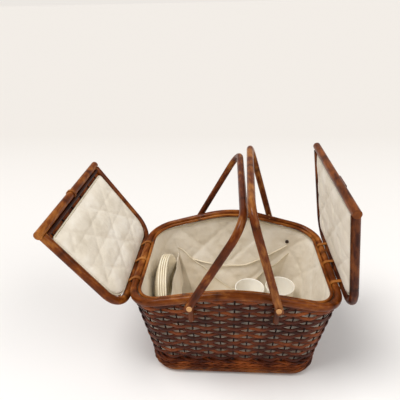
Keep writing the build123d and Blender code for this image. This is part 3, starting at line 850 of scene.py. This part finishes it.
def make_lining_walls():
    """A quilted wall of cotton with puffs between diagonal seams, and its own back."""
    columns, rows = 352, 64
    front, back = [], []
    for i in range(columns):
        u = STAKES * i / columns
        middle = wall_point(u, 110)[0]
        top = gable_z(middle.x * 1.04) - 9.2
        for j in range(rows):
            z = 12.0 + (top - 12.0) * j / (rows - 1)
            arc = u * 27.2
            height = quilt(arc, z * 1.02)
            puff = 3.0 * height + 1.3 * ruck(arc, z, 24) + 0.7 * ruck(arc, z, 9, 3)
            end = crease(top - z, 5.0)
            front.append(wall_point(u, z, LINING_FACE - 0.3 - puff * end)[0])
            back.append(wall_point(u, z, LINING_BACK)[0])
    first = len(front)
    faces = grid_faces(columns, rows, True, 0, True) + grid_faces(columns, rows, True, first)
    for i in range(columns):
        a, b = i * rows, ((i + 1) % columns) * rows
        faces.append((a, first + a, first + b, b))
        a, b = a + rows - 1, b + rows - 1
        faces.append((a, b, first + b, first + a))
    mesh = smooth_mesh("lining_wall_quilt", front + back, faces, LINING)
    # The back faces, seen through the weave's gaps, take the backing painted pale as painted light.
    mesh.materials.append(BACKING_PAINTED_LIGHT)
    outer = columns * (rows - 1)
    for face in mesh.polygons[outer : 2 * outer]:
        face.material_index = 1
    piece = place_piece("lining_wall_quilt", "basket", mesh, ["lining_walls"])


def make_lining_floor():
    columns, rings = 160, 34
    top, bottom = [], []
    for i in range(columns):
        edge = wall_point(STAKES * i / columns, 14.0, -6.4)[0]
        for j in range(rings):
            t = 0.02 + 0.98 * j / (rings - 1)
            x, y = edge.x * t, edge.y * t
            side = crease((1 - t) * 120, 6.0)
            puff = 12.6 + 5.0 * side * (0.35 + 0.65 * quilt(x, y)) + 0.4 * ruck(x, y, 25)
            top.append(Vector((x, y, puff)))
            bottom.append(Vector((x, y, 11.8)))
    first = len(top)
    faces = grid_faces(columns, rings, True) + grid_faces(columns, rings, True, first, True)
    for i in range(columns):
        a, b = i * rings, ((i + 1) % columns) * rings
        a, b = a + rings - 1, b + rings - 1
        faces.append((first + a, first + b, b, a))
    faces.append(tuple(i * rings for i in range(columns)))
    faces.append(tuple(first + i * rings for i in reversed(range(columns))))
    mesh = smooth_mesh("floor_quilt", top + bottom, faces, LINING)
    piece = place_piece("floor_quilt", "basket", mesh, ["lining_floor"])


def make_lid_pad(side, name, end):
    """The lid's quilted pad: drawn in along its edges and by its seams, puffed between."""
    body = "lid_" + name
    inset, r = 12.4, 37.6
    columns, rows = 110, 90
    front, back = [], []
    for i in range(columns):
        t = i / (columns - 1)
        s = PAD_START + (end - PAD_START) * (t if t > 0.15 else t * t / 0.3 + t * 0.5)
        half = max(inside_half(s, PAD_START, inset, r), 1.0)
        for j in range(rows):
            y = half * (2 * j / (rows - 1) - 1)
            edge = min(half - abs(y), s - PAD_START, end - s)
            drawn = crease(edge, 9.0)
            row_step = (end - PAD_START) / 4
            channel = crease(seam_distance(s - PAD_START, row_step), 7.0)
            diamonds = quilt(s * 1.05 + 20, y, 72.0, 6.0)
            puff = drawn * (0.25 + 0.30 * channel + 0.45 * diamonds)
            slack = 0.9 * drawn * ruck(s, y, 26, 5) + 0.5 * drawn * ruck(s, y, 10, 8)
            height = 3.6 + 5.2 * puff + slack
            front.append(lid_place(side, s, y, HINGE_D - height))
            back.append(lid_place(side, s, y, HINGE_D + 1.2))
    first = len(front)
    faces = grid_faces(columns, rows, False, 0, True) + grid_faces(columns, rows, False, first)
    rim = list(range(rows)) + [i * rows + rows - 1 for i in range(1, columns)]
    rim += [(columns - 1) * rows + j for j in range(rows - 2, -1, -1)]
    rim += [i * rows for i in range(columns - 2, 0, -1)]
    for k, a in enumerate(rim):
        b = rim[(k + 1) % len(rim)]
        faces.append((a, b, first + b, first + a)[::-1])
    mesh = smooth_mesh("lid_quilt_" + name, front + back, faces, LINING)
    fix_normals(mesh)
    piece = place_piece("lid_quilt_" + name, body, mesh, ["lid_pad_" + name])
    far, inset = end + 2.05, 10.3
    near = PAD_START - 2.05
    corners = [
        (far, -lid_half(far) + inset), (near, -lid_half(near) + inset),
        (near, lid_half(near) - inset), (far, lid_half(far) - inset),
    ]
    route = rounded([(s, y, HINGE_D - 1.4) for s, y in corners], [8, 39.7, 39.7, 8], closed=True)
    points = [lid_place(side, *p) for p in route]
    make_canes(
        "lid_edge_cord_" + name, body, [strand(points, lid_out(side), True)], PIPING,
        ["lid_piping_" + name], "cotton_piping", width=3.6, thickness=3.6, sides=10,
    )


def fix_normals(mesh):
    work = bmesh.new()
    work.from_mesh(mesh)
    bmesh.ops.recalc_face_normals(work, faces=work.faces)
    work.to_mesh(mesh)
    work.free()


def pocket_top(x):
    """Height of the pocket's sagging edge: two slopes that meet low in the middle."""
    low, high, reach = 30.0, 180.0, 158.0
    slope = (high - low) / reach
    d = abs(x - 8.0)
    soft = 34.0
    if d < soft:
        return low + slope * (d * d / (2 * soft) + soft / 2)
    return low + slope * d


def pocket_wall(z):
    return BASE_WIDTH + (RIM_WIDTH - BASE_WIDTH) * grow(z) - 5.8


def make_pocket():
    """The gathered back pocket: one sheet with soft folds that hang from its corners."""
    columns, rows = 120, 46
    verts, area = [], 0.0
    for i in range(columns):
        t = 2 * i / (columns - 1) - 1
        for j in range(rows):
            v = j / (rows - 1)
            x = t * (104 + 36 * v)
            top = min(pocket_top(t * 142), POCKET_CORNER_Z)
            z = POCKET_FOOT + (top - POCKET_FOOT) * v
            full = 1 + 20 * ((z - POCKET_FOOT) / (POCKET_CORNER_Z - POCKET_FOOT)) ** 1.2
            fold = 2.4 * math.sin(t * 17 + 0.8 * v) * (0.25 + v) + 1.6 * ruck(x, z, 22, 2)
            y = pocket_wall(z) - full - 2.5 - fold * min(1, full / 8)
            verts.append(Vector((x, y, z)))
    faces = grid_faces(columns, rows)
    for a, b, c, d in faces:
        p, q, s, t = (verts[k] for k in (a, b, c, d))
        area += ((q - p).cross(s - p).length + (s - p).cross(t - p).length) / 2e6
    mesh = smooth_mesh("pocket_cloth", verts, faces, LINING)
    piece = place_piece("pocket_cloth", "basket", mesh, ["back_pocket"])
    piece.modifiers.new("cloth thickness", "SOLIDIFY").thickness = 0.0012
    edge = [verts[i * rows + rows - 1] + Vector((0, 0, 0.5)) for i in range(columns)]
    hem = make_canes(
        "pocket_hem", "basket", [strand(edge, (0, -1, 0))], PIPING, (), "cotton_piping",
        width=3.2, thickness=2.8, sides=8,
    )
    places = [(-118, 130), (-74, 118), (-27, 110), (32, 112), (75, 131), (108, 151), (138, 168)]
    tape = rounded([(x, pocket_wall(z) - 1.9, z) for x, z in places], 40)
    make_canes(
        "pocket_tape_cord", "basket", [strand(tape, (0, -1, 0))], PIPING, ["pocket_tape"],
        "cotton_piping", width=3.4, thickness=3.4, sides=8,
    )


def strap_x(z):
    front = 3 * PLATE_PITCH + (PLATE_DEPTH + 0.3) / math.cos(PLATE_LEAN)
    return PLATE_FOOT_X + front - (z - FLOOR_Z) * math.tan(PLATE_LEAN)


def make_strap():
    """The cloth strap that holds the plates: a flat band with a few slack ripples."""
    columns, rows = 90, 22
    verts = []
    low = FLOOR_Z + STRAP_FOOT
    for i in range(columns):
        t = 2 * i / (columns - 1) - 1
        for j in range(rows):
            z = low + STRAP_HEIGHT * j / (rows - 1)
            y = t * (BASE_WIDTH + (RIM_WIDTH - BASE_WIDTH) * grow(z) - 6.3)
            sag = 1.6 * (1 - t * t) * math.sin(3 + 9 * t) + 1.2 * ruck(y, z, 18, 4)
            verts.append(Vector((strap_x(z) + 1.6 + max(sag, -1.0), y, z - 2.5 * (1 - t * t))))
    mesh = smooth_mesh("strap_cloth", verts, grid_faces(columns, rows), LINING)
    piece = place_piece("strap_cloth", "basket", mesh, ["plate_strap"])
    piece.modifiers.new("cloth thickness", "SOLIDIFY").thickness = 0.0014


# Ware

def lathe(name, body, profile, place, finish, replaces, segments=96):
    """Turns a profile of (radius, height) about its axis; the first and last lie on it."""
    verts, faces = [place(0, 0, profile[0][1])], []
    rings = profile[1:-1]
    for r, z in rings:
        for k in range(segments):
            angle = 2 * math.pi * k / segments
            verts.append(place(r * math.cos(angle), r * math.sin(angle), z))
    verts.append(place(0, 0, profile[-1][1]))
    last = len(verts) - 1
    for k in range(segments):
        n = (k + 1) % segments
        faces.append((0, 1 + n, 1 + k))
        for i in range(len(rings) - 1):
            a, b = 1 + i * segments, 1 + (i + 1) * segments
            faces.append((a + k, a + n, b + n, b + k))
        a = 1 + (len(rings) - 1) * segments
        faces.append((a + k, a + n, last))
    mesh = smooth_mesh(name, verts, faces, finish)
    fix_normals(mesh)
    return place_piece(name, body, mesh, replaces)


def soft_profile(points, cut=1.0):
    """A profile with each corner cut by two small steps, so its edges catch the light."""
    made = [points[0]]
    for before, here, after in zip(points, points[1:], points[2:]):
        p, q, s = Vector(before), Vector(here), Vector(after)
        c = min(cut, (q - p).length * 0.45, (s - q).length * 0.45)
        first, last = q + (p - q).normalized() * c, q + (s - q).normalized() * c
        made += [tuple(first), tuple((first + last) / 4 + q / 2), tuple(last)]
    return made + [points[-1]]


def make_ware():
    cup = [(0, 0.6), (10, 0.6), (19, 0), (24, 0), (25.2, 4), (36, 79), (35.8, 81.3), (33.4, 81.3)]
    cup += [(32.9, 79), (22.5, 6), (19, 3.4), (0, 3.2)]
    for i, (x, y) in enumerate(CUP_PLACES, 1):
        lathe(
            f"cup_glaze_{i}", f"cup_{i}", soft_profile(cup, 1.2),
            lambda a, b, c, x=x, y=y: Vector((x + a, y + b, 18.1 + c)),
            CUP_GLAZE, [f"cup_{i}"],
        )
    plate = [(0, 0.8), (40, 0.8), (43, 0), (57, 0), (92, 17), (92, 19.6), (88.6, 19.9), (53, 4.2)]
    plate += [(48, 3.6), (0, 3.9)]
    c, n = math.cos(PLATE_LEAN), math.sin(PLATE_LEAN)
    for i in range(4):
        x0 = PLATE_FOOT_X + i * PLATE_PITCH - PLATE_R * n
        z0 = FLOOR_Z + 0.3 + PLATE_R * c - PLATE_EDGE * n
        lathe(
            f"plate_glaze_{i + 1}", "plates", soft_profile(plate, 1.0),
            lambda a, b, h, x0=x0, z0=z0: Vector(
                (x0 + h * c - a * n, PLATE_Y + b, z0 + h * n + a * c)
            ),
            PLATE_GLAZE, [f"plate_{i + 1}"],
        )


def make_latch():
    """The cord loop that hangs from the left closing bar."""
    h, s, w = 10.0, LID_LENGTH - 9.5, HINGE_D + 9.5
    knot = lid_place(-1, s, 0, w)
    route = [(0, -h, -1), (0, -h, -46), (0, h, -46), (0, h, -1)]
    data = bpy.data.curves.new("latch_cord", "CURVE")
    data.dimensions = "3D"
    spline = data.splines.new("NURBS")
    spline.points.add(len(route) - 1)
    for point, place in zip(spline.points, route):
        where = (knot + Vector(place)) / 1000
        point.co = (*where, 1.0)
    spline.order_u = 3
    spline.use_endpoint_u = True
    data.bevel_depth = 0.0015
    data.bevel_resolution = 3
    data.resolution_u = 24
    data.use_fill_caps = True
    data.materials.append(WAXED_CORD)
    piece = place_piece("latch_cord", "latch_loop", data)
    knots = [knot + Vector((0, y, 0)) for y in (-12, -6, 0, 6, 12)]
    tie = make_canes(
        "latch_knot", "latch_loop", [strand(knots, (1, 0, 0))], WAXED_CORD, ["latch_loop"],
        "waxed_cord", width=4.6, thickness=4.6, sides=10,
    )


def dress_cad_nodes():
    """The CAD pieces that stay get their finishes."""
    finishes = {
        "handle_posts": POLE_CANE, "handle_pegs": PEG_WOOD, "base_sticks": DARK_POLE,
        "base_panel": WEAVE_CANE, "hinge_loops_left": STRIP_CANE, "hinge_loops_right": STRIP_CANE,
        "lid_slat_left": DARK_POLE, "latch_lashing": STRIP_CANE, "toggle_neck": DARK_POLE,
        "toggle_peg": POLE_CANE, "pocket_button": BUTTON_HORN, "strap_stud": BUTTON_HORN,
    }
    for name, finish in finishes.items():
        mesh = NODES[name].data
        mesh.materials.clear()
        mesh.materials.append(finish)


# Floor, light and camera

def set_stage():
    """A pale floor with painted light, lighter near the basket and darker far off, that fades to the
    backdrop's own colour, so that no horizon shows.
    """
    paper, tree, shader = new_material("pale studio paper")
    place = add_node(tree, "ShaderNodeTexCoord").outputs["Object"]
    depth = add_node(tree, "ShaderNodeSeparateXYZ", {"Vector": place}).outputs["Y"]
    far = add_node(
        tree, "ShaderNodeMapRange", {"Value": depth, "From Min": -0.3, "From Max": 1.6}
    ).outputs[0]
    # The floor's tone runs from painted light near the basket to the dimmer far colour.
    tone = add_node(
        tree, "ShaderNodeValToRGB", {"Fac": far}, ((0.0, FLOOR_NEAR_PAINTED_LIGHT), (1.0, FLOOR_FAR_PAINTED_DIM))
    ).outputs["Color"]
    tree.links.new(tone, shader.inputs["Base Color"])
    shader.inputs["Roughness"].default_value = 1.0
    shader.inputs["Specular IOR Level"].default_value = 0.0
    bpy.ops.mesh.primitive_plane_add(size=160, location=(0, 0, -0.0005))
    ground = bpy.context.object
    ground.name = "studio_floor"
    ground.data.materials.append(paper)
    world = bpy.data.worlds.new("studio")
    bpy.context.scene.world = world
    world.use_nodes = True
    shade = world.node_tree.nodes["Background"]
    path = add_node(world.node_tree, "ShaderNodeLightPath").outputs["Is Camera Ray"]
    colour = add_node(
        world.node_tree, "ShaderNodeMix",
        {"Factor": path, 6: linear("#FFFFFF"), 7: linear("#EDE8E2")}, data_type="RGBA",
    ).outputs[2]
    power = add_node(
        world.node_tree, "ShaderNodeMix", {"Factor": path, 2: 0.4, 3: 1.0}, data_type="FLOAT"
    ).outputs[0]
    world.node_tree.links.new(colour, shade.inputs["Color"])
    world.node_tree.links.new(power, shade.inputs["Strength"])
    for name, aim, soft, strength in [
        ("window_light", (0.42, 0.16, -1.0), 30.0, 2.15),
        ("fill_light", (-0.95, 0.35, -0.75), 50.0, 1.0),
    ]:
        lamp = bpy.data.lights.new(name, "SUN")
        lamp.angle, lamp.energy = math.radians(soft), strength
        holder = bpy.data.objects.new(name, lamp)
        holder.rotation_euler = Vector(aim).to_track_quat("-Z", "Y").to_euler()
        bpy.context.scene.collection.objects.link(holder)


def set_camera():
    lens = bpy.data.cameras.new("camera")
    lens.lens, lens.sensor_width = 36.7, 36.0
    holder = bpy.data.objects.new("camera", lens)
    eye, target = Vector((-0.0165, -0.7553, 0.7390)), Vector((-0.072, 0.0, 0.3631))
    ahead = (target - eye).normalized()
    side = ahead.cross(Vector((0, 0, 1))).normalized()
    above = side.cross(ahead)
    roll = math.radians(-1.3)
    right = side * math.cos(roll) + above * math.sin(roll)
    top = above * math.cos(roll) - side * math.sin(roll)
    matrix = Matrix((right, top, -ahead)).transposed().to_4x4()
    matrix.translation = eye
    holder.matrix_world = matrix
    bpy.context.scene.collection.objects.link(holder)
    bpy.context.scene.camera = holder


set_camera()
make_latch()
weave_wall()
make_rims()
make_handle("left", LEFT_HANDLE_X, 29.0, 196.5, 0.0, 0.18)
make_handle("right", RIGHT_HANDLE_X, -16.1, 198.0, 2.09, 0.62)
make_lid_poles(-1, "left", POLE_CANE, 0.25)
make_lid_poles(1, "right", DARK_POLE, 0.5)
make_lid_weave(-1, "left")
make_lid_weave(1, "right")
make_lining_walls()
make_lining_floor()
make_lid_pad(-1, "left", LEFT_PAD_END)
make_lid_pad(1, "right", RIGHT_PAD_END)
make_pocket()
make_strap()
make_ware()
dress_cad_nodes()
set_stage()
bpy.context.scene.view_settings.view_transform = "Standard"
